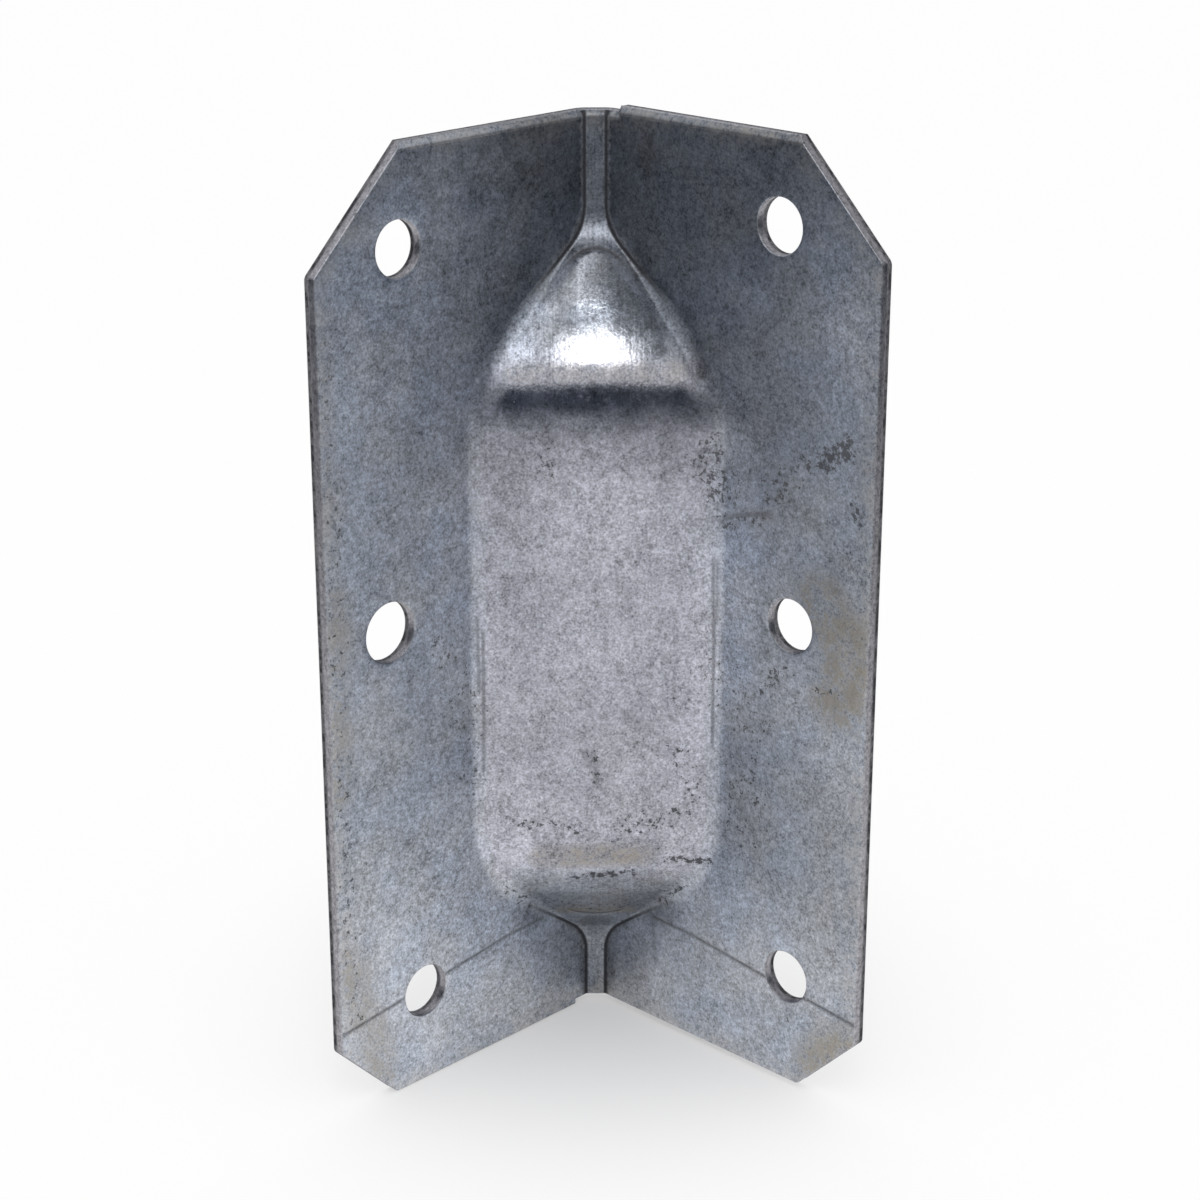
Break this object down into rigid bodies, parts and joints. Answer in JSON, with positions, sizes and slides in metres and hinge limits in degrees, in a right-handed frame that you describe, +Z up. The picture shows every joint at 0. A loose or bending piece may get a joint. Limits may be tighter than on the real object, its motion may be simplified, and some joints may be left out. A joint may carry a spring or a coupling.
{
  "type": "gusset angle",
  "caption": "Folded galvanised steel angle with clipped corners, staggered nail holes and a raised gusset pressed into the bend, for bracing a timber corner.",
  "frame": {"origin": "sharp corner in which the outer faces of the two legs meet, at the lower cut end", "axes": "+Z up along the bend; +X along one leg and +Y along the other, both pointing away from the heel"},
  "size_m": [0.0318, 0.0318, 0.0825],
  "materials": {
    "galvanised_sheet": "hot-dip galvanised sheet, dull spangle"
  },
  "bodies": {
    "root": {"gusset_angle": "galvanised_sheet"}
  },
  "joints": []
}
